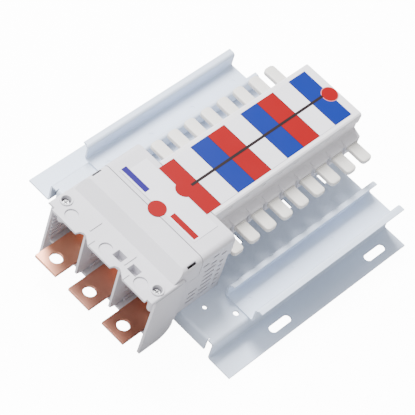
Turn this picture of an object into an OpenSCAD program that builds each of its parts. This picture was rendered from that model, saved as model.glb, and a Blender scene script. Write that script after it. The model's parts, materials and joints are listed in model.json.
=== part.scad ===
// Busbar chassis for miniature circuit breakers: folded pan, two clip rails, an insulated
// three-bar stack with capped tee-off tabs on both sides, and a three-pole incomer module.
// Millimetres. X runs across the rails, Y along the busbars away from the incomer, Z up from
// the plane that the pan's flanges stand on.

/* [Output] */
// the piece to draw, or all of them

/* [Pan] */
// length of the folded sheet along Y
pan_len = 200; // [180:1:220]
// width over the two outer flanges
pan_w = 225; // [200:1:240]
// width over the raised floor's side walls
floor_w = 181; // [170:1:186]
// height of the raised floor's top face
floor_h = 19.5; // [15:0.5:25]
// thickness of the steel sheet
sheet = 1.5; // [1:0.1:2]
// inner bend radius
bend_r = 1.2; // [0.8:0.1:2]
// fixing slot, end to end
slot_len = 22; // [16:1:26]
// fixing slot width
slot_w = 7; // [5:0.5:9]
// distance between a flange's two slots
slot_pitch = 109; // [90:1:130]
// distance of each slot from the centre plane
slot_x = 102.2; // [98:0.1:106]
// half length of the folded end walls along X
end_wall_x = 83.5; // [70:0.5:86]

/* [Rails] */
// inner face of the rail, from the centre plane
rail_x = 64; // [60:1:70]
// distance over the two webs
rail_web_w = 30; // [26:1:34]
// lip width, measured from the web's far face
rail_lip = 5; // [4:0.5:6]
// rail height above the floor
rail_h = 15.5; // [12:0.5:20]
// near end of the rails
rail_y0 = -62; // [-66:1:-50]
// far end of the rails
rail_y1 = 100.5; // [95:0.5:104]

/* [Poles] */
// breaker positions on each side
poles = 9; // [3:1:12]
// pole pitch
pitch = 18; // [17.5:0.1:18.5]
// first pole's centre along Y
pole_y0 = -49.3; // [-52:0.1:-46]

/* [Stack] */
// near and far end of the moulded housing
stack_y0 = -56.5; // [-58:0.1:-55]
stack_y1 = 106; // [100:0.5:110]
// half width at the tee-off shoulder
shoulder_x = 36.5; // [34:0.5:40]
// half width of the upper wall
neck_x = 29.2; // [27:0.5:31]
// underside of the shoulder
shoulder_z0 = 49; // [45:0.5:52]
// top face of the cover
stack_top = 81; // [75:0.5:85]

/* [Copper] */
// bar thickness
bar_t = 4; // [3:0.5:6]
// bar spacing across X
bar_x = 20; // [16:1:22]
// bar underside
bar_z0 = 30; // [26:1:34]
// bar top between its tabs
bar_z1 = 45; // [40:1:48]
// tee-off tab width
stab_w = 8.2; // [7:0.1:10]
// tee-off tab thickness
stab_t = 2; // [1.5:0.1:3]
// underside of every tee-off tab
stab_z = 55.4; // [53:0.1:56]
// tee-off tab's outer end
stab_x = 55; // [50:0.1:56]

/* [Caps] */
// cap width
cap_w = 10.8; // [10:0.1:12]
// cap height
cap_t = 4.2; // [3.8:0.1:6]
// cap's outer end
cap_x = 56.5; // [55.5:0.1:58]

/* [Incomer] */
// pole pitch of the incoming terminals
term_pitch = 37; // [33:0.5:40]
// terminal width
term_w = 23; // [18:0.5:26]
// terminal thickness
term_t = 3; // [2:0.5:5]
// terminal hole diameter
term_hole = 10.5; // [8:0.5:13]
// terminal front edge
term_y = -154; // [-158:0.5:-150]
// hole centre
term_hole_y = -143; // [-146:0.5:-140]
// half width over the terminal housing
shroud_x = 55.7; // [54:0.1:57]
// front edge of the barriers and side plates
shroud_y = -141; // [-143:0.5:-138]
// front edge of the cover's tongues
tongue_y = -146; // [-150:0.5:-145]
// joint between front cover and rear cover
joint_y = -90.7; // [-94:0.1:-88]
// ledge height of the front cover
ledge_z = 73; // [70:0.5:76]
// thickness of that ledge
ledge_t = 2; // [1.5:0.1:4]
// top of the front cover
front_top = 80.7; // [78:0.1:83]

/* [Hidden] */
$fn = 48;
eps = 0.01;
frame_y = 24;                                 // moves the whole assembly so that its box is centred
half_len = pan_len / 2;
wall_x = floor_w / 2;                         // outer face of the pan's side walls
bend_o = bend_r + sheet;                      // outer bend radius
slot_y = 20.1;                                // middle of a flange's pair of slots
web2_x = rail_x + rail_web_w;                 // outer face of the rail's outer web
rail_top = floor_h + rail_h;
stab_top = stab_z + stab_t;
cap_z0 = stab_z + stab_t / 2 - cap_t / 2;
term_z0 = 19;                                 // underside of the terminal flags
term_z1 = term_z0 + term_t;
riser_y = -112;                               // front face of a terminal's upright leg
foot_y = riser_y + term_t;                    // where a bar's folded foot meets that leg
link_z = 36.5;                                // height of the link bolts
term_xs = [-term_pitch, 0, term_pitch];
link_xs = [-term_pitch, 7.2, term_pitch];
barrier_x = term_pitch / 2;
barrier_t = 2;
wall_out = 53.5;                              // outer face of the incomer's side walls
louvre_pitch = 6.1;                           // spacing of the louvres in the incomer's sides
rib_pitch = 4.9;                              // spacing of the ribs inside its side plates
split_z = 60;                                 // where the covers sit on the incomer's base
cover_top = 80.95;                            // top of the rear cover
rear_y1 = -57.2;                              // rear face of the rear cover
shelf_z0 = 16.5;                              // underside of the shelf below the terminals
boss_top = 66;                                // top of the front cover's screw bosses
well_x = 49;                                  // cover screw wells
well_y = -132;
pocket_xs = [11, 26.5];                       // middles of the two latch pockets
hood_w = 13.2;                                // width of the hood over a tee-off window
hood_x = shoulder_x + 1.6;                    // its outer face
pin_gap = 0.3;                                // clearance round every shank
label_y0 = -61.2;                             // near edge of the phase label
support_ys = [-49.3 - 9, -4.3, 31.7, 67.7, 98];
stack_screw_ys = [-46, 90];
incomer_screw_ys = [-88, -68];

steel = [0.72, 0.75, 0.79];
plastic = [0.86, 0.86, 0.88];
cream = [0.88, 0.87, 0.82];
copper = [0.72, 0.42, 0.28];
zinc = [0.70, 0.70, 0.72];
label_white = [0.93, 0.93, 0.94];
grey = [0.55, 0.56, 0.58];

function pole_y(k) = pole_y0 + pitch * (k - 1);

// ---------- helpers ----------
module place() translate([0, frame_y, 0]) children();

// a box from its lowest corner to its highest
module span(a, b) translate(a) cube(b - a);

// extrudes an XZ drawing along Y from y0 to y1
module along_y(y0, y1) translate([0, y1, 0]) rotate([90, 0, 0]) linear_extrude(y1 - y0) children();

// extrudes a YZ drawing along X from x0 to x1
module along_x(x0, x1) translate([x0, 0, 0]) rotate([90, 0, 90]) linear_extrude(x1 - x0) children();

module rect(x0, y0, x1, y1) translate([x0, y0]) square([x1 - x0, y1 - y0]);

// quarter of a bent sheet round the point c; sx and sy pick the quarter
module bend(c, sx, sy) translate(c) intersection() {
    difference() { circle(bend_o); circle(bend_r); }
    rect(sx > 0 ? 0 : -bend_o - 1, sy > 0 ? 0 : -bend_o - 1, sx > 0 ? bend_o + 1 : 0, sy > 0 ? bend_o + 1 : 0);
}

// a closed outline from its right half, listed from bottom to top or top to bottom
function both_sides(half) = concat(half, [for (i = [len(half) - 1 : -1 : 0]) [-half[i][0], half[i][1]]]);

module slot_hole(l, w, h) {
    for (s = [-1, 1]) translate([0, s * (l - w) / 2, -h / 2]) cylinder(d = w, h = h);
    translate([-w / 2, -(l - w) / 2, -h / 2]) cube([w, l - w, h]);
}

module mirror_copy() { children(); mirror([1, 0, 0]) children(); }

// pan-head screw along -Z: head underside at the origin
module pan_screw(r, len, head_r, head_h) {
    difference() {
        union() {
            translate([0, 0, -len]) cylinder(r = r, h = len + eps);
            cylinder(r = head_r, h = head_h * 0.55);
            translate([0, 0, head_h * 0.55]) cylinder(r1 = head_r, r2 = head_r * 0.72, h = head_h * 0.45);
        }
        for (a = [0, 90]) rotate(a) translate([-head_r * 0.62, -head_r * 0.13, head_h * 0.4])
            cube([head_r * 1.24, head_r * 0.26, head_h]);
    }
}

// ---------- pan ----------
module pan_side_profile() {
    rect(wall_x + bend_r, 0, pan_w / 2, sheet);
    bend([wall_x + bend_r, bend_o], -1, -1);
    rect(wall_x - sheet, bend_o, wall_x, floor_h - bend_o);
    bend([wall_x - bend_o, floor_h - bend_o], 1, 1);
}

module pan_end_profile() {
    rect(half_len - bend_o - 2, floor_h - sheet, half_len - bend_o, floor_h);
    bend([half_len - bend_o, floor_h - bend_o], 1, 1);
    rect(half_len - sheet, 5, half_len, floor_h - bend_o);
}

module pan() color(steel) place() difference() {
    union() {
        difference() {
            union() {
                mirror_copy() along_y(-half_len, half_len) pan_side_profile();
                span([-(wall_x - bend_o), -half_len, floor_h - sheet], [wall_x - bend_o, half_len, floor_h]);
            }
            for (s = [-1, 1]) span([-end_wall_x - 0.8, s > 0 ? half_len - bend_o : -half_len - 1, 10],
                                   [end_wall_x + 0.8, s > 0 ? half_len + 1 : -half_len + bend_o, floor_h + 1]);
        }
        for (s = [0, 1]) mirror([0, s, 0]) along_x(-end_wall_x, end_wall_x) pan_end_profile();
    }
    translate([80.5, -66.4, 10]) cylinder(d = 4.5, h = 20);
    for (sx = [-1, 1]) {
        for (sy = [-1, 1]) translate([sx * slot_x, slot_y + sy * slot_pitch / 2, sheet / 2])
            slot_hole(slot_len, slot_w, 2 * sheet);
        translate([sx * 62.1, -81.8, 10]) cylinder(d = 3.6, h = 20);
        for (y = [-18, 37.5, 79.7])
            span([min(sx * 28, sx * 37.5), y - 2.1, 10], [max(sx * 28, sx * 37.5), y + 2.1, 30]);
        for (y = stack_screw_ys) translate([sx * 10, y, 10]) cylinder(r = 1.75 + pin_gap, h = 20);
        for (y = incomer_screw_ys) translate([sx * 43, y, 10]) cylinder(r = 1.75 + pin_gap, h = 20);
    }
}

// ---------- rails ----------
module rail_profile() {
    z0 = floor_h; z1 = rail_top; x0 = rail_x; x1 = web2_x;
    rect(x0 + bend_o, z1 - sheet, x0 + rail_lip, z1);
    bend([x0 + bend_o, z1 - bend_o], -1, 1);
    rect(x0, z0 + bend_o, x0 + sheet, z1 - bend_o);
    bend([x0 + bend_o, z0 + bend_o], -1, -1);
    rect(x0 + bend_o, z0, x1 - bend_o, z0 + sheet);
    bend([x1 - bend_o, z0 + bend_o], 1, -1);
    rect(x1 - sheet, z0 + bend_o, x1, z1 - bend_o);
    bend([x1 + bend_r, z1 - bend_o], -1, 1);
    rect(x1 + bend_r, z1 - sheet, x1 + rail_lip, z1);
}

module rail_right_shape() difference() {
    along_y(rail_y0, rail_y1) rail_profile();
    // the lips start a little behind the webs
    for (x = [rail_x + sheet + bend_r, web2_x + bend_r])
        span([x, rail_y0 - 1, rail_top - sheet - 0.5], [x + 6, rail_y0 + 1, rail_top + 1]);
    // spot-weld dimples
    for (y = [rail_y0 + 12, rail_y0 + 58, rail_y0 + 104, rail_y1 - 12])
        translate([rail_x + rail_web_w / 2, y, floor_h + sheet - 0.25]) cylinder(d = 4, h = 1);
}
module rail_right() color(steel) place() rail_right_shape();
module rail_left() color(steel) place() mirror([1, 0, 0]) rail_right_shape();

// ---------- insulated stack ----------
module stack_base() color(plastic) place() difference() {
    union() {
        span([-26, stack_y0, floor_h], [26, stack_y1 - 2, floor_h + 3.5]);
        mirror_copy() span([24.2, stack_y0, floor_h], [26, stack_y1 - 2, shoulder_z0]);
        for (x = [-10, 10], y = stack_screw_ys) translate([x, y, floor_h]) cylinder(r = 4, h = 9);
    }
    for (x = [-10, 10], y = stack_screw_ys)
        translate([x, y, floor_h - 1]) cylinder(r = 1.75 + pin_gap, h = 9);
    // drain and cable-tie slots through the side walls
    for (k = [1 : poles - 1]) span([-30, pole_y(k) + pitch / 2 - 3, 32], [30, pole_y(k) + pitch / 2 + 3, 38]);
}

module bar_support(y) difference() {
    span([-24, y - 2, floor_h + 3.5], [24, y + 2, 41]);
    for (x = [-bar_x, 0, bar_x])
        span([x - bar_t / 2 - 0.15, y - 3, bar_z0], [x + bar_t / 2 + 0.15, y + 3, 42]);
    for (x = [-10, 10]) span([x - 4, y - 3, 33], [x + 4, y + 3, 42]);
}
module bar_supports() color(cream) place() for (y = support_ys)
    bar_support(y == support_ys[0] ? stack_y0 + 4 : y);

module housing_outline() polygon([
    [24.2, shoulder_z0], [shoulder_x, shoulder_z0], [shoulder_x, 58.5], [neck_x, 62], [neck_x, 78.4],
    [neck_x - 2, 78.4], [neck_x - 2, 61.2], [shoulder_x - 2, 57.7], [shoulder_x - 2, shoulder_z0 + 2],
    [24.2, shoulder_z0 + 2]]);

module stack_housing() color(plastic) place() difference() {
    union() {
        mirror_copy() along_y(stack_y0, stack_y1 - 2) housing_outline();
        // a hood over every tee-off window
        for (k = [1 : poles]) mirror_copy() along_y(pole_y(k) - hood_w / 2, pole_y(k) + hood_w / 2)
            polygon([[shoulder_x - 2, shoulder_z0], [hood_x, shoulder_z0], [hood_x, 60.2], [hood_x - 1.6, 61.1],
                     [31, 61.1], [shoulder_x - 2, 58]]);
        // cross bars that tie the two upper walls together
        for (k = [1 : poles - 1])
            span([-neck_x + 1, pole_y(k) + pitch / 2 - 1, 68], [neck_x - 1, pole_y(k) + pitch / 2 + 1, 74]);
    }
    for (k = [1 : poles]) mirror_copy() {
        span([shoulder_x - 3, pole_y(k) - cap_w / 2 - 0.3, cap_z0 - 0.3],
             [hood_x + 1, pole_y(k) + cap_w / 2 + 0.3, cap_z0 + cap_t + 0.3]);
        // slot beside the hood
        span([shoulder_x - 3, pole_y(k) - hood_w / 2 - 1.6, 53],
             [shoulder_x + 1, pole_y(k) - hood_w / 2 - 0.2, 57.4]);
    }
    latch_windows();
}

module end_plate() color(plastic) place() difference() {
    along_y(stack_y1 - 2, stack_y1) polygon(both_sides([
        [26, floor_h + 0.5], [26, shoulder_z0], [shoulder_x, shoulder_z0], [shoulder_x, 58.5], [neck_x, 62],
        [neck_x, 69.8]]));
    for (z = [28, 36, 44]) span([-18, stack_y1 - 0.6, z], [18, stack_y1 + 1, z + 3]);
}

// cover section: a flat top with rolled edges and a skirt over the housing
module cover_outline() difference() {
    polygon(both_sides([[neck_x + 1.2, 70], [neck_x + 1.8, stack_top - 2.6], [neck_x + 1.2, stack_top - 0.8],
                        [neck_x - 0.2, stack_top]]));
    rect(-neck_x - 0.2, 69, neck_x + 0.2, 78.6);
}

// small latch windows in the skirt and in the wall behind it
module latch_windows() for (s = [-1, 1], k = [1 : poles - 1]) {
    y = pole_y(k) + pitch / 2;
    span([s * neck_x - 3, y - 2.3, 76.4], [s * neck_x + 3, y + 2.3, 77.5]);
}

module stack_cover() color(plastic) place() difference() {
    union() {
        along_y(stack_y0, stack_y1) cover_outline();
        along_y(stack_y1 - 2, stack_y1)
            polygon(both_sides([[neck_x + 1.2, 70], [neck_x + 1.4, 79]]));
    }
    latch_windows();
}

module phase_label() color(label_white) place() translate([0, 0, stack_top]) linear_extrude(0.3) {
    rect(-26, label_y0, 26, 98.5);
    // round tabs that carry a coloured spot at each end
    intersection() { translate([-0.6, -58.2]) circle(7.4); rect(-10, -70, 10, label_y0 + eps); }
    intersection() { translate([1, 98.7]) circle(7.2); rect(-10, 98, 10, 110); }
}

// ---------- busbars ----------
module bar_tabs(first) for (k = [first : 3 : poles]) difference() {
    span([-bar_t / 2, pole_y(k) - 5, bar_z1 - 1], [bar_t / 2, pole_y(k) + 5, stab_z]);
    translate([0, pole_y(k), stab_z - 7]) cylinder(r = 1 + pin_gap, h = 8);
}
module bar_body(first, end_y) {
    span([-bar_t / 2, foot_y, bar_z0], [bar_t / 2, end_y, bar_z1]);
    bar_tabs(first);
}
module foot(x0, x1, hx) difference() {
    span([x0, foot_y, bar_z0 - 2], [x1, foot_y + bar_t, bar_z1]);
    translate([hx, foot_y - 1, link_z]) rotate([-90, 0, 0]) cylinder(r = 3.5, h = bar_t + 2);
}
module busbar_red() color(copper) place() {
    translate([-bar_x, 0, 0]) bar_body(1, 101);
    foot(-term_pitch - 8, -bar_x + bar_t / 2, link_xs[0]);
}
module busbar_white() color(copper) place() {
    bar_body(2, 101);
    foot(-bar_t / 2, 13, link_xs[1]);
}
module busbar_blue() color(copper) place() {
    translate([bar_x, 0, 0]) bar_body(3, 101);
    foot(bar_x - bar_t / 2, term_pitch + 8, link_xs[2]);
}

module stab(k, x) difference() {
    union() {
        span([-stab_x + 2, pole_y(k) - stab_w / 2, stab_z], [stab_x - 2, pole_y(k) + stab_w / 2, stab_top]);
        for (s = [0, 1]) mirror([s, 0, 0]) span([stab_x - 2 - eps, pole_y(k) - stab_w / 2 + 1, stab_z],
                                                [stab_x, pole_y(k) + stab_w / 2 - 1, stab_top]);
    }
    translate([x, pole_y(k), stab_z - 1]) cylinder(r = 1 + pin_gap, h = stab_t + 2);
}
module stabs_red() color(copper) place() for (k = [1 : 3 : poles]) stab(k, -bar_x);
module stabs_white() color(copper) place() for (k = [2 : 3 : poles]) stab(k, 0);
module stabs_blue() color(copper) place() for (k = [3 : 3 : poles]) stab(k, bar_x);

module stab_rivets() color(zinc) place() for (k = [1 : poles])
    translate([bar_x * ((k - 1) % 3 - 1), pole_y(k), stab_top]) {
        translate([0, 0, -7]) cylinder(r = 1, h = 7 + eps);
        cylinder(r1 = 2.5, r2 = 1.7, h = 1.3);
    }

// ---------- finger caps ----------
module cap_shape() difference() {
    union() {
        translate([0, 0, cap_z0]) linear_extrude(cap_t) {
            rect(33.8, -cap_w / 2, cap_x - 3, cap_w / 2);
            rect(cap_x - 3 - eps, -cap_w / 2 + 3, cap_x, cap_w / 2 - 3);
            for (s = [-1, 1]) translate([cap_x - 3, s * (cap_w / 2 - 3)]) circle(3);
        }
        // collar that stops the cap against the housing, and two grip beads
        span([hood_x + 0.15, -cap_w / 2 - 0.5, cap_z0 - 0.5],
             [hood_x + 1.1, cap_w / 2 + 0.5, cap_z0 + cap_t + 0.5]);
        for (x = [49.5, 51.3])
            span([x, -cap_w / 2 + 2, cap_z0 + cap_t - eps], [x + 0.7, cap_w / 2 - 2, cap_z0 + cap_t + 0.3]);
    }
    span([33, -stab_w / 2 - 0.1, stab_z - 0.1], [stab_x + 0.15, stab_w / 2 + 0.1, stab_top + 0.1]);
}
module cap_r(k) color(cream) place() translate([0, pole_y(k), 0]) cap_shape();
module cap_l(k) color(cream) place() translate([0, pole_y(k), 0]) mirror([1, 0, 0]) cap_shape();

// ---------- incomer ----------
// rounded-top outline in XZ: half width w, from z0 up to z1, corner radius r
module round_top(w, z0, z1, r) {
    rect(-w, z0, w, z1 - r);
    rect(-w + r, z0, w - r, z1);
    for (s = [-1, 1]) translate([s * (w - r), z1 - r]) intersection() { circle(r); rect(-r, 0, r, r); }
}

module end_plate_outline() difference() {
    union() {
        polygon([[-108, 19.5], [-108, 70], [shroud_y + 2.5, 70], [shroud_y, 4], [shroud_y + 1, 2], [-123, 2],
                 [-123, 19.5]]);
        translate([-123, 16]) circle(14);
    }
    rect(-125, 19.4, -100, 19.5);
    rect(-108, 0, -100, 80);
}

// louvre from y[0] to y[1] through a side wall
module side_slot(z, y) span([wall_out - 3, y[0], z], [wall_out + 1, y[1], z + 2.2]);

module incomer_base() color(plastic) place() difference() {
    union() {
        span([-wall_out, -108.5, floor_h], [wall_out, -60, floor_h + 3]);
        mirror_copy() span([wall_out - 2, -108.5, floor_h], [wall_out, -60, split_z]);
        span([-wall_out, -62, floor_h], [wall_out, -60, split_z]);
        // header beam and its step down to the shelf under the terminals
        span([-wall_out, -108.5, 50], [wall_out, -104.5, split_z]);
        span([-wall_out, -108.5, shelf_z0], [wall_out, -103, floor_h + 1]);
        span([-wall_out - 1, -134, shelf_z0], [wall_out + 1, -108.4, term_z0]);
        mirror_copy() {
            along_x(wall_out, shroud_x) end_plate_outline();
            span([wall_out - 2, -110, 22], [wall_out + 1, -107, split_z]);
            // ribs on the inside of the side plates
            for (z = [24.4 : rib_pitch : 66]) span([wall_out - 1.2, -137, z], [wall_out + eps, -113, z + 2.2]);
            // guides for the barriers
            for (x = [barrier_x - 2.6, barrier_x + 1.2])
                span([x, -127, term_z0 - eps], [x + 1.4, -109, term_z0 + 3]);
            // screw boss for the front cover
            translate([well_x, well_y, 50]) cylinder(r = 4, h = boss_top - 50);
            span([well_x, well_y - 1.5, 50], [wall_out + 1, well_y + 1.5, boss_top]);
            for (y = incomer_screw_ys) translate([43, y, floor_h]) cylinder(r = 4, h = 10);
        }
    }
    // passage for the three bars
    span([-25.5, -64, 26], [25.5, -58, 58]);
    mirror_copy() {
        translate([well_x, well_y, boss_top - 12]) cylinder(r = 1.5 + pin_gap, h = 13);
        for (y = incomer_screw_ys) translate([43, y, floor_h - 1]) cylinder(r = 1.75 + pin_gap, h = 10);
        // louvres through the side walls, the lower rows one field longer
        for (z = [26.4 : louvre_pitch : 57], y = [[-84, -72.5], [-68.5, -64.5]]) side_slot(z, y);
        for (z = [26.4 : louvre_pitch : 42]) side_slot(z, [-96.5, -87.5]);
    }
}

module rear_cover() color(plastic) place() difference() {
    along_y(joint_y + 0.25, rear_y1) round_top(wall_out, split_z, cover_top, 5);
    along_y(joint_y - 1, rear_y1 - 2) round_top(wall_out - 2, split_z - 1, cover_top - 2, 3);
    // the stack's bars and tabs come in through the rear wall
    span([-26, rear_y1 - 3, split_z - 1], [26, rear_y1 + 1, split_z + 4]);
    mirror_copy() {
        for (y = [[-88, -81.5], [-69, -63.5]]) side_slot(66.8, y);
        for (z = [62.8, 71]) side_slot(z, [-78.5, -72.5]);
    }
}

module incomer_label() color(label_white) place() translate([0, 0, cover_top]) linear_extrude(0.2)
difference() {
    rect(-38.3, -86.5, 38.3, -62.2);
    translate([-0.6, -58.2]) circle(7.8);
}

// section of the front cover and of its hollow
module front_outline() polygon([
    [joint_y - 0.25, split_z], [joint_y - 0.25, front_top], [-109, front_top], [-119.5, ledge_z],
    [tongue_y, ledge_z], [tongue_y, ledge_z - ledge_t], [-112, ledge_z - ledge_t], [-112, split_z]]);
module front_hollow() polygon([
    [joint_y - 2.25, split_z - 1], [joint_y - 2.25, front_top - 2], [-108.4, front_top - 2],
    [-110, front_top - 3.2],
    [-110, split_z - 1]]);

// gap between two tongues, with a scoop over the barrier that stands at the origin
module tongue_gap() translate([0, 0, ledge_z - 10]) linear_extrude(20) polygon([
    [-4.7, -155], [-4.7, -145.6], [-3.4, -142.6], [-1, -141.2], [1.6, -141.4], [3.8, -142.8], [8, -145.8],
    [8.2, -155]]);

module front_cover() color(plastic) place() difference() {
    union() {
        difference() {
            union() {
                intersection() {
                    along_x(-wall_out, wall_out) front_outline();
                    along_y(-119.4, joint_y) round_top(wall_out - 0.1, split_z - 1, front_top, 5);
                }
                intersection() {
                    along_x(-shroud_x, shroud_x) front_outline();
                    along_y(-150, -110) round_top(shroud_x, 70.3, ledge_z, 1.5);
                }
            }
            along_x(-wall_out + 2, wall_out - 2) front_hollow();
        }
        // screw wells with a raised rim
        mirror_copy() difference() {
            union() {
                translate([well_x, well_y, boss_top + 0.3]) cylinder(r = 5.4, h = ledge_z - boss_top - 0.3);
                translate([well_x, well_y, ledge_z - eps]) cylinder(r = 5.1, h = 0.9);
            }
            span([wall_out - 0.2, well_y - 8, 60], [wall_out + 8, well_y + 8, 70.3]);
        }
        // latch pockets below the ledge
        for (x = pocket_xs) span([x - 5.6, -138.2, 64.3], [x + 5.6, -129.2, ledge_z - eps]);
        // seams beside the barriers and beside the tongues
        for (x = [-barrier_x, barrier_x])
            span([x - 0.5, -136.5, ledge_z - eps], [x + 0.5, -124.6, ledge_z + 0.6]);
        for (x = [-barrier_x, barrier_x])
            span([x + 8.2, -145.9, ledge_z - eps], [x + 8.8, -139.6, ledge_z + 0.5]);
    }
    for (x = [-barrier_x, barrier_x]) translate([x, 0, 0]) tongue_gap();
    for (g = [[-60, -49], [50.5, 60]]) span([g[0], -150, 60], [g[1], -143.4, 80]);
    for (x = term_xs) translate([x, -137.5, ledge_z - 1.1]) cylinder(r = 5.3, h = 5);
    for (x = pocket_xs) span([x - 4.4, -137.2, 65.4], [x + 4.4, -130.2, 80]);
    mirror_copy() {
        translate([well_x, well_y, boss_top + 2.3]) cylinder(r = 3.9, h = 12);
        translate([well_x, well_y, boss_top - 1]) cylinder(r = 1.5 + pin_gap, h = 12);
        // latch slots in the rolled edge and in the side
        span([wall_out - 3.4, -105.6, 76.5], [wall_out - 1.4, -96.6, 90]);
        span([wall_out - 3, -106.9, 61], [wall_out + 1, -105.6, 67.5]);
    }
}

module barrier_shape() difference() {
    along_x(-barrier_t / 2, barrier_t / 2)
        polygon([[-112.4, term_z0 + 0.2], [-112.4, 70.6], [-138.5, 70.6], [-140.5, 68.5], [-140.5, 21],
                 [-136, term_z0 + 0.2]]);
    for (z = [30 : 6 : 60]) span([-barrier_t, -128, z], [barrier_t, -118, z + 2]);
}
module barrier_left() color(plastic) place() translate([-barrier_x, 0, 0]) barrier_shape();
module barrier_right() color(plastic) place() translate([barrier_x, 0, 0]) barrier_shape();

// ---------- terminals ----------
module terminal_profile() {
    rect(term_y, term_z0, riser_y - 1.5, term_z1);
    translate([riser_y - 1.5, term_z1 + 1.5]) intersection() {
        difference() { circle(1.5 + term_t); circle(1.5); }
        rect(0, -10, 10, 0);
    }
    rect(riser_y, term_z1 + 1.5, foot_y, bar_z1);
}
module terminal(xc, hx) difference() {
    along_x(xc - term_w / 2, xc + term_w / 2) terminal_profile();
    translate([xc, term_hole_y, term_z0 - 1]) cylinder(d = term_hole, h = term_t + 2);
    translate([hx, riser_y - 1, link_z]) rotate([-90, 0, 0]) cylinder(r = 3.5, h = term_t + 2);
}
module terminal_red() color(copper) place() terminal(term_xs[0], link_xs[0]);
module terminal_white() color(copper) place() terminal(term_xs[1], link_xs[1]);
module terminal_blue() color(copper) place() terminal(term_xs[2], link_xs[2]);

module link_bolts() color(zinc) place() for (x = link_xs) translate([x, riser_y, link_z]) rotate([90, 0, 0]) {
    translate([0, 0, -14]) cylinder(r = 3, h = 14 + eps);
    rotate(30) cylinder(r = 5.75, h = 4, $fn = 6);
}
module link_nuts() color(zinc) place() for (x = link_xs)
    translate([x, foot_y + bar_t + 5, link_z]) rotate([90, 0, 0])
    difference() {
        rotate(30) cylinder(r = 5.75, h = 5, $fn = 6);
        translate([0, 0, -1]) cylinder(r = 3.05, h = 7);
    }

// ---------- screws ----------
module cover_screw(s) translate([s * well_x, well_y, boss_top + 2.35]) pan_screw(1.5, 12, 3.3, 2.2);
module cover_screw_left() color(zinc) place() cover_screw(-1);
module cover_screw_right() color(zinc) place() cover_screw(1);

module floor_screw(x, y) translate([x, y, floor_h - sheet]) mirror([0, 0, 1]) pan_screw(1.75, 9.5, 3.6, 2.2);
module stack_screws() color(zinc) place() for (x = [-10, 10], y = stack_screw_ys) floor_screw(x, y);
module incomer_screws() color(zinc) place() for (x = [-43, 43], y = incomer_screw_ys) floor_screw(x, y);

// ---------- output ----------
pan();
rail_left();
rail_right();
stack_base();
bar_supports();
stack_housing();
end_plate();
stack_cover();
phase_label();
busbar_red();
busbar_white();
busbar_blue();
stabs_red();
stabs_white();
stabs_blue();
stab_rivets();
incomer_base();
rear_cover();
incomer_label();
front_cover();
barrier_left();
barrier_right();
terminal_red();
terminal_white();
terminal_blue();
link_bolts();
link_nuts();
cover_screw_left();
cover_screw_right();
stack_screws();
incomer_screws();
for (k = [1 : 9]) {
    cap_l(k);
    cap_r(k);
}
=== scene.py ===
import json
import math

import bmesh
import bpy
from mathutils import Matrix, Vector


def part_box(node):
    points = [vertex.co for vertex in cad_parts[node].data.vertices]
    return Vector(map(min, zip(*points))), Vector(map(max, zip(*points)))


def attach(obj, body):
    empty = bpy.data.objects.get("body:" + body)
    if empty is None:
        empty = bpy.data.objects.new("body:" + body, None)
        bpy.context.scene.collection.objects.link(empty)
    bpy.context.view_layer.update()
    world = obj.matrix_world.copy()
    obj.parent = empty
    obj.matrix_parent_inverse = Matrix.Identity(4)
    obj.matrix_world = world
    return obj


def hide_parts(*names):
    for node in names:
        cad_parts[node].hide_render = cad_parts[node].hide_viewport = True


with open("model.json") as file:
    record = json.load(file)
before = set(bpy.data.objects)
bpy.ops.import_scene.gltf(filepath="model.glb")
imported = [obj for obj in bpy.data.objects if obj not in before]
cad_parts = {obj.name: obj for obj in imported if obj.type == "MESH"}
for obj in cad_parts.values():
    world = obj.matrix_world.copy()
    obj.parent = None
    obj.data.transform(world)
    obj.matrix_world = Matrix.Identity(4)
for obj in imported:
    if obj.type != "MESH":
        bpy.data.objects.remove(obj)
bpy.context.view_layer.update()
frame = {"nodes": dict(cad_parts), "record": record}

MM = 0.001


# ---------- places taken from the frame ----------
def low(node):
    return Vector(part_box(node)[0])


def high(node):
    return Vector(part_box(node)[1])


BODY_OF = {node: body for body, nodes in frame["record"]["behaviour"]["bodies"].items() for node in nodes}
SLOT_OF = {entry["node"]: entry["material_slot"] for entry in frame["record"]["subparts"]}
POLES = 9
PITCH = 18                                             # mm from pole to pole
CENTRE_Y = (low("pan").y + high("pan").y) / 2          # middle of the pan along Y


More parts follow.
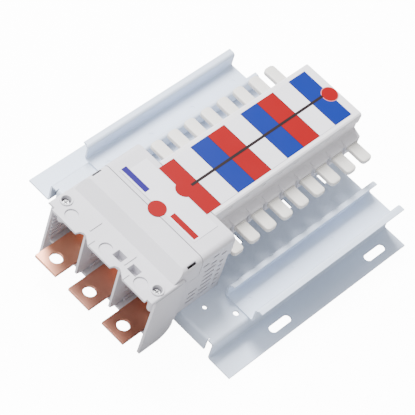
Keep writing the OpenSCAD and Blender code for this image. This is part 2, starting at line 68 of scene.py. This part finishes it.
# ---------- node helpers ----------
class Graph:
    """Short calls for building a material's nodes."""

    def __init__(self, name):
        self.material = bpy.data.materials.new(name)
        self.material.use_nodes = True
        self.nodes = self.material.node_tree.nodes
        self.links = self.material.node_tree.links
        self.shader = self.nodes["Principled BSDF"]
        self.coords = self.nodes.new("ShaderNodeTexCoord").outputs["Object"]

    def add(self, kind, **settings):
        node = self.nodes.new(kind)
        for key, value in settings.items():
            setattr(node, key, value)
        return node

    def link(self, source, target):
        self.links.new(source, target)

    def stretched(self, scale):
        mapping = self.add("ShaderNodeMapping")
        mapping.inputs["Scale"].default_value = scale
        self.link(self.coords, mapping.inputs["Vector"])
        return mapping.outputs["Vector"]

    def noise(self, scale, detail=3.0, roughness=0.5, stretch=None):
        node = self.add("ShaderNodeTexNoise")
        node.inputs["Scale"].default_value = scale
        node.inputs["Detail"].default_value = detail
        node.inputs["Roughness"].default_value = roughness
        self.link(self.stretched(stretch) if stretch else self.coords, node.inputs["Vector"])
        return node.outputs["Fac"]

    def ramp(self, value, stops):
        node = self.add("ShaderNodeValToRGB")
        elements = node.color_ramp.elements
        while len(elements) < len(stops):
            elements.new(0.5)
        for element, (place, colour) in zip(elements, stops):
            element.position = place
            element.color = (*colour, 1.0)
        self.link(value, node.inputs["Fac"])
        return node.outputs["Color"]

    def spread(self, value, low_value, high_value):
        node = self.add("ShaderNodeMapRange")
        node.inputs["To Min"].default_value = low_value
        node.inputs["To Max"].default_value = high_value
        self.link(value, node.inputs["Value"])
        return node.outputs["Result"]

    def bump(self, height, strength, distance, under=None):
        node = self.add("ShaderNodeBump")
        node.inputs["Strength"].default_value = strength
        node.inputs["Distance"].default_value = distance
        self.link(height, node.inputs["Height"])
        if under:
            self.link(under, node.inputs["Normal"])
        return node.outputs["Normal"]

    def soft_edges(self, radius):
        node = self.add("ShaderNodeBevel")
        node.samples = 6
        node.inputs["Radius"].default_value = radius
        return node.outputs["Normal"]


def shade(colour, factor):
    return tuple(min(1.0, c * factor) for c in colour)


def set_values(shader, **values):
    names = {"metallic": "Metallic", "roughness": "Roughness", "specular": "Specular IOR Level",
             "subsurface": "Subsurface Weight"}
    for key, value in values.items():
        shader.inputs[names[key]].default_value = value


# ---------- materials ----------
def coated_steel():
    g = Graph("coated_steel")
    base = (0.635, 0.715, 0.85)
    tone = g.ramp(g.noise(9.0, 4.0), [(0.3, shade(base, 0.93)), (0.7, shade(base, 1.05))])
    g.link(tone, g.shader.inputs["Base Color"])
    g.link(g.spread(g.noise(60.0, 5.0), 0.34, 0.46), g.shader.inputs["Roughness"])
    set_values(g.shader, metallic=0.08, specular=0.4)
    texture = g.bump(g.noise(900.0, 2.0), 0.12, 0.06 * MM, g.soft_edges(0.2 * MM))
    g.link(texture, g.shader.inputs["Normal"])
    return g.material


def moulded(name, base, roughness=0.5, grain=0.10, subsurface=0.05):
    g = Graph(name)
    tone = g.ramp(g.noise(14.0, 3.0), [(0.3, shade(base, 0.96)), (0.7, shade(base, 1.03))])
    g.link(tone, g.shader.inputs["Base Color"])
    g.link(g.spread(g.noise(120.0, 3.0), roughness - 0.05, roughness + 0.06), g.shader.inputs["Roughness"])
    g.shader.inputs["Subsurface Radius"].default_value = (2 * MM, 2 * MM, 2 * MM)
    set_values(g.shader, subsurface=subsurface, specular=0.45)
    texture = g.bump(g.noise(1800.0, 2.0), grain, 0.05 * MM, g.soft_edges(0.5 * MM))
    g.link(texture, g.shader.inputs["Normal"])
    return g.material


def printed_film(name, base):
    g = Graph(name)
    tone = g.ramp(g.noise(22.0, 2.0), [(0.3, shade(base, 0.96)), (0.7, shade(base, 1.03))])
    g.link(tone, g.shader.inputs["Base Color"])
    g.link(g.spread(g.noise(80.0, 3.0), 0.32, 0.41), g.shader.inputs["Roughness"])
    set_values(g.shader, specular=0.09)
    g.link(g.bump(g.noise(500.0, 2.0), 0.05, 0.04 * MM), g.shader.inputs["Normal"])
    return g.material


def rolled_copper():
    g = Graph("rolled_copper")
    # painted shade: the colour is painted lighter on the left flag and darker on the right one, standing in
    # for the key light falling off across X, with random tone added
    edge_x = 55 * MM
    split = g.add("ShaderNodeSeparateXYZ")
    g.link(g.coords, split.inputs["Vector"])
    # painted shade: a gradient across X, lighter on the left flag and darker on the right one
    painted_shade_across = g.add("ShaderNodeMapRange")
    painted_shade_across.inputs["From Min"].default_value = edge_x
    painted_shade_across.inputs["From Max"].default_value = -edge_x
    g.link(split.outputs["X"], painted_shade_across.inputs["Value"])
    # random tone plus the painted shade across X
    tone_and_painted_shade = g.add("ShaderNodeMath", operation="ADD")
    g.link(g.spread(g.noise(28.0, 5.0, 0.6, (1.0, 0.35, 1.0)), -0.2, 0.2), tone_and_painted_shade.inputs[0])
    g.link(painted_shade_across.outputs["Result"], tone_and_painted_shade.inputs[1])
    tone = g.ramp(tone_and_painted_shade.outputs["Value"],
                  [(0.0, (0.34, 0.125, 0.080)), (0.5, (0.60, 0.27, 0.19)), (1.0, (0.78, 0.36, 0.225))])
    g.link(tone, g.shader.inputs["Base Color"])
    lines = g.noise(260.0, 3.0, 0.6, (1.0, 0.03, 1.0))
    g.link(g.spread(lines, 0.30, 0.50), g.shader.inputs["Roughness"])
    set_values(g.shader, metallic=0.85)
    g.link(g.bump(lines, 0.12, 0.06 * MM, g.soft_edges(0.4 * MM)), g.shader.inputs["Normal"])
    return g.material


def zinc_plate():
    g = Graph("zinc_plate")
    g.link(g.ramp(g.noise(300.0, 4.0), [(0.3, (0.42, 0.42, 0.43)), (0.7, (0.62, 0.62, 0.63))]),
           g.shader.inputs["Base Color"])
    g.link(g.spread(g.noise(700.0, 3.0), 0.25, 0.42), g.shader.inputs["Roughness"])
    set_values(g.shader, metallic=1.0)
    g.link(g.soft_edges(0.2 * MM), g.shader.inputs["Normal"])
    return g.material


MATERIALS = {
    "coated_steel": coated_steel(),
    "stack_plastic": moulded("stack_plastic", (0.73, 0.715, 0.745), 0.5, 0.2),
    "incomer_plastic": moulded("incomer_plastic", (0.60, 0.59, 0.63), 0.52),
    "cap_plastic": moulded("cap_plastic", (0.67, 0.65, 0.615), 0.42, 0.04, 0.12),
    "label_film": printed_film("label_white", (0.70, 0.69, 0.74)),
    "copper": rolled_copper(),
    "zinc_steel": zinc_plate(),
}
FILM = {
    "red": printed_film("film_red", (0.225, 0.002, 0.004)),
    "white": MATERIALS["label_film"],
    "blue": printed_film("film_blue", (0.005, 0.017, 0.165)),
    "violet_blue": printed_film("film_violet_blue", (0.018, 0.009, 0.140)),
    "line": printed_film("film_line", (0.016, 0.010, 0.011)),
    "rim": printed_film("film_rim", (0.55, 0.17, 0.16)),
    # grey for the painted shade along the label film's cut edges
    "edge": printed_film("film_edge_shade", (0.42, 0.42, 0.45)),
}


def dress_cad_nodes():
    """Gives each CAD node the material of its slot."""
    for name, node in frame["nodes"].items():
        node.data.materials.clear()
        node.data.materials.append(MATERIALS[SLOT_OF[name]])


# ---------- mesh helpers ----------
def new_piece(name, mesh, material, body):
    piece = bpy.data.objects.new(name, mesh)
    bpy.context.scene.collection.objects.link(piece)
    mesh.materials.append(material)
    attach(piece, body)
    return piece


def plate_mesh(name, outline, z0, z1):
    """A flat plate with this outline, a list of (x, y) points in order."""
    bm = bmesh.new()
    bottom = [bm.verts.new((x, y, z0)) for x, y in outline]
    face = bm.faces.new(bottom)
    lift = bmesh.ops.extrude_face_region(bm, geom=[face])
    top = [v for v in lift["geom"] if isinstance(v, bmesh.types.BMVert)]
    bmesh.ops.translate(bm, verts=top, vec=(0, 0, z1 - z0))
    bmesh.ops.recalc_face_normals(bm, faces=bm.faces)
    mesh = bpy.data.meshes.new(name)
    bm.to_mesh(mesh)
    bm.free()
    return mesh


def arc(cx, cy, r, a0, a1, steps=24):
    """Points on a circle from angle a0 to a1, in degrees."""
    return [(cx + r * math.cos(math.radians(a0 + (a1 - a0) * i / steps)),
             cy + r * math.sin(math.radians(a0 + (a1 - a0) * i / steps))) for i in range(steps + 1)]


def rectangle(x0, y0, x1, y1):
    return [(x0, y0), (x1, y0), (x1, y1), (x0, y1)]


# ---------- printed films ----------
def film(name, outline, z0, z1, colour, node):
    """A flat printed field that belongs to the label of this CAD node."""
    return new_piece(name, plate_mesh(name, outline, z0, z1), FILM[colour], BODY_OF[node])


def stack_label():
    """Nine phase stripes, a near tab, a far spot with its rim, a centre line and dark outlines."""
    lo, hi = low("phase_label"), high("phase_label")
    half_w = hi.x
    ink = 0.05 * MM                                    # thickness of one printed layer
    first_edge, near_end, far_end = -64, -61.2, 98.5   # mm along Y from the middle of the pan
    line_start, line_end, line_half_w = -52, 92.5, 1.15 * MM
    seam = 0.22 * MM                                   # half width of the dark outline between two fields
    edges = [CENTRE_Y + (first_edge + PITCH * k) * MM for k in range(POLES + 1)]
    edges[0] = CENTRE_Y + near_end * MM
    edges[-1] = CENTRE_Y + far_end * MM
    for k in range(POLES):
        colour = ("red", "white", "blue")[k % 3]
        outline = rectangle(-half_w, edges[k], half_w, edges[k + 1])
        stripe = film(f"stripe_{k + 1}", outline, lo.z, hi.z, colour, "phase_label")
        if k == 0:
            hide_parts("phase_label")
    tab_x, tab_y, tab_r = -0.6 * MM, CENTRE_Y - 58.2 * MM, 7.4 * MM
    spread = math.degrees(math.acos(3.0 * MM / tab_r))  # the tab starts at the first stripe's near edge
    film("near_tab", arc(tab_x, tab_y, tab_r, 270 - spread, 270 + spread), lo.z, hi.z, "red", "phase_label")
    spot = (2.0 * MM, CENTRE_Y + 98.5 * MM)
    rim_r, spot_r = 7.2 * MM, 6.6 * MM
    film("far_rim", arc(*spot, rim_r, 0, 352, 44), lo.z, hi.z + ink, "rim", "phase_label")
    film("far_spot", arc(*spot, spot_r, 0, 352, 44), hi.z, hi.z + 3 * ink, "red", "phase_label")
    outline = rectangle(-line_half_w, CENTRE_Y + line_start * MM, line_half_w, CENTRE_Y + line_end * MM)
    film("centre_line", outline, hi.z - ink, hi.z + 2 * ink, "line", "phase_label")
    for k in range(1, POLES):
        outline = rectangle(-half_w, edges[k] - seam, half_w, edges[k] + seam)
        film(f"field_outline_{k}", outline, hi.z - ink, hi.z + ink, "line", "phase_label")


def incomer_marks():
    """Two phase bars, grey lines of painted shade along the label's cut edges and a spot that is cut where
    the two covers meet.
    """
    z = high("incomer_label").z
    ink = 0.06 * MM
    bar_y0, bar_y1 = CENTRE_Y - 84.8 * MM, CENTRE_Y - 79.8 * MM
    bars = [("blue_bar", "violet_blue", -42.0, -15.9), ("red_bar", "red", 10.7, 36.6)]
    for name, colour, x0, x1 in bars:
        film(name, rectangle(x0 * MM, bar_y0, x1 * MM, bar_y1), z - ink, z + ink, colour, "incomer_label")
    # grey lines of painted shade where the label film's cut edges show
    lines = [("label_edge_shade_near", -42, -87.1, -7, -86.75), ("label_edge_shade_side", 38.2, -80, 38.5, -62)]
    for name, x0, y0, x1, y1 in lines:
        outline = rectangle(x0 * MM, CENTRE_Y + y0 * MM, x1 * MM, CENTRE_Y + y1 * MM)
        film(name, outline, z - 3 * ink, z + ink / 2, "edge", "incomer_label")
    parting = CENTRE_Y - 90.7 * MM
    centre = CENTRE_Y - 87.5 * MM
    r = 7.2 * MM
    cut = math.degrees(math.asin((parting - centre) / r))
    top = z + 3 * ink
    film("spot_rear", arc(0, centre, r, cut, 180 - cut, 40), z - ink, top, "red", "rear_cover")
    film("spot_front", arc(0, centre, r, 180 - cut, 360 + cut, 40), high("front_cover").z - ink, top, "red",
         "front_cover")


# ---------- finger caps ----------
def rounded_loop(x, half_w, half_t, r, steps=5):
    """Points of a rounded rectangle in the plane of this x, counterclockwise seen from +X."""
    r = min(r, half_w, half_t)
    points = []
    for quarter, (sy, sz) in enumerate(((1, 1), (-1, 1), (-1, -1), (1, -1))):
        for i in range(steps + 1):
            a = math.radians(90 * quarter + 90 * i / steps)
            points.append((x, sy * (half_w - r) + r * math.cos(a), sz * (half_t - r) + r * math.sin(a)))
    return points


def skinned(name, loops):
    """Skin over loops of equally many points; the first and last loops are capped with a face."""
    count = len(loops[0])
    points = [p for loop in loops for p in loop]
    faces = []
    for k in range(len(loops) - 1):
        for i in range(count):
            j = (i + 1) % count
            faces.append((k * count + i, k * count + j, (k + 1) * count + j, (k + 1) * count + i))
    faces.append(tuple(reversed(range(count))))
    faces.append(tuple(range((len(loops) - 1) * count, len(loops) * count)))
    mesh = bpy.data.meshes.new(name)
    mesh.from_pydata(points, [], faces)
    mesh.update()
    return mesh


def cap_mesh():
    """One moulded cap on the X axis, hollow from its open root at x = 0 to its round tip."""
    lo, hi = low("cap_right_1"), high("cap_right_1")
    length, half_w, half_t = hi.x - lo.x, 5.4 * MM, 2.1 * MM
    hollow_w, hollow_t, hollow_end = 4.25 * MM, 1.15 * MM, length - 1.3 * MM
    hollow_r, edge = 0.2 * MM, 1.0 * MM                # corner radii of the hollow and of the outside
    collar, collar_h = 4.5 * MM, 0.5 * MM              # start and height of the finger stop
    loops = [rounded_loop(x, hollow_w, hollow_t, hollow_r) for x in (hollow_end, 0.0)]
    loops += [rounded_loop(x, half_w + grow, half_t + grow, edge)
              for x, grow in ((0.0, 0.0), (collar, 0.0), (collar, collar_h), (collar + 0.8 * MM, collar_h),
                              (collar + 0.9 * MM, 0.0))]
    tip_r, tip_t = 3.4 * MM, 1.5 * MM                  # plan radius of the corners and rounding of the tip
    tip_steps = 10
    for i in range(tip_steps + 1):
        a = math.radians(90 * i / tip_steps)
        x = length - tip_r + tip_r * math.sin(a)
        narrow = tip_r * (1 - math.cos(a))
        depth = max(0.0, (x - (length - tip_t)) / tip_t)
        thin = tip_t * 0.62 * (1 - math.sqrt(max(0.0, 1 - depth * depth)))
        loops.append(rounded_loop(x, half_w - narrow, half_t - thin, edge))
    mesh = skinned("finger_cap", loops)
    mesh.materials.append(MATERIALS["cap_plastic"])
    for face in mesh.polygons:
        face.use_smooth = True
    mesh.set_sharp_from_angle(angle=math.radians(38))
    return mesh


def finger_caps():
    """The same cap on every tee-off finger, turned round on the left side."""
    mesh = cap_mesh()
    for side, turn in (("right", 0.0), ("left", math.pi)):
        for k in range(1, POLES + 1):
            node = f"cap_{side}_{k}"
            lo, hi = low(node), high(node)
            root_x = lo.x if side == "right" else hi.x
            piece = bpy.data.objects.new(f"finger_{side}_{k}", mesh)
            piece.matrix_world = (Matrix.Translation((root_x, (lo.y + hi.y) / 2, (lo.z + hi.z) / 2))
                                  @ Matrix.Rotation(turn, 4, "Z"))
            bpy.context.scene.collection.objects.link(piece)
            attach(piece, BODY_OF[node])
            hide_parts(node)


# ---------- studio ----------
def floor_and_light():
    """White paper under the part, a white world, a soft key light from the left and a softer one in front."""
    paper_reach, paper_glow, world_strength = 6.0, 12.0, 0.85
    mesh = bpy.data.meshes.new("studio_floor")
    corners = rectangle(-paper_reach, -paper_reach, paper_reach, paper_reach)
    mesh.from_pydata([(x, y, 0) for x, y in corners], [], [(0, 1, 2, 3)])
    floor = bpy.data.objects.new("studio_floor", mesh)
    bpy.context.scene.collection.objects.link(floor)
    g = Graph("studio_paper")
    tone = g.ramp(g.noise(3.0, 2.0), [(0.0, (0.55, 0.55, 0.56)), (1.0, (0.58, 0.58, 0.59))])
    g.link(tone, g.shader.inputs["Base Color"])
    set_values(g.shader, roughness=0.9, specular=0.1)
    # glows for the camera only, so that the paper stays white without lighting the part
    seen = g.add("ShaderNodeLightPath").outputs["Is Camera Ray"]
    g.shader.inputs["Emission Color"].default_value = (1.0, 1.0, 1.0, 1.0)
    g.link(g.spread(seen, 0.0, paper_glow), g.shader.inputs["Emission Strength"])
    mesh.materials.append(g.material)

    world = bpy.data.worlds.new("studio_world")
    world.use_nodes = True
    background = world.node_tree.nodes["Background"]
    background.inputs["Color"].default_value = (1.0, 1.0, 1.0, 1.0)
    background.inputs["Strength"].default_value = world_strength
    bpy.context.scene.world = world

    lamps = [("key", (-1.1, 0.35, 1.9), 0.9, 140), ("front", (-0.7, -1.6, 1.5), 1.3, 40)]
    for name, place, size, power in lamps:
        lamp = bpy.data.lights.new(name, "AREA")
        lamp.size = size
        lamp.energy = power
        lamp_object = bpy.data.objects.new(name, lamp)
        lamp_object.location = place
        lamp_object.rotation_euler = (-Vector(place)).to_track_quat("-Z", "Y").to_euler()
        bpy.context.scene.collection.objects.link(lamp_object)


def camera():
    """Looks at the middle of the pan's underside from the side of the incomer, rolled about the view axis."""
    azimuth, elevation, roll = map(math.radians, (30.05, 52.58, 19.07))
    distance = 1.6333
    target = Vector((0, CENTRE_Y, 0))
    level = math.cos(elevation)
    direction = Vector((level * math.sin(azimuth), -level * math.cos(azimuth), math.sin(elevation)))
    data = bpy.data.cameras.new("camera")
    data.lens = 180.7
    data.sensor_width = 36
    data.shift_x = -0.0271
    data.shift_y = 0.0157
    data.clip_end = 20
    eye = bpy.data.objects.new("camera", data)
    turn = (-direction).to_track_quat("-Z", "Y").to_matrix() @ Matrix.Rotation(roll, 3, "Z")
    eye.matrix_world = Matrix.Translation(target + direction * distance) @ turn.to_4x4()
    bpy.context.scene.collection.objects.link(eye)
    bpy.context.scene.camera = eye


camera()
dress_cad_nodes()
stack_label()
incomer_marks()
finger_caps()
floor_and_light()
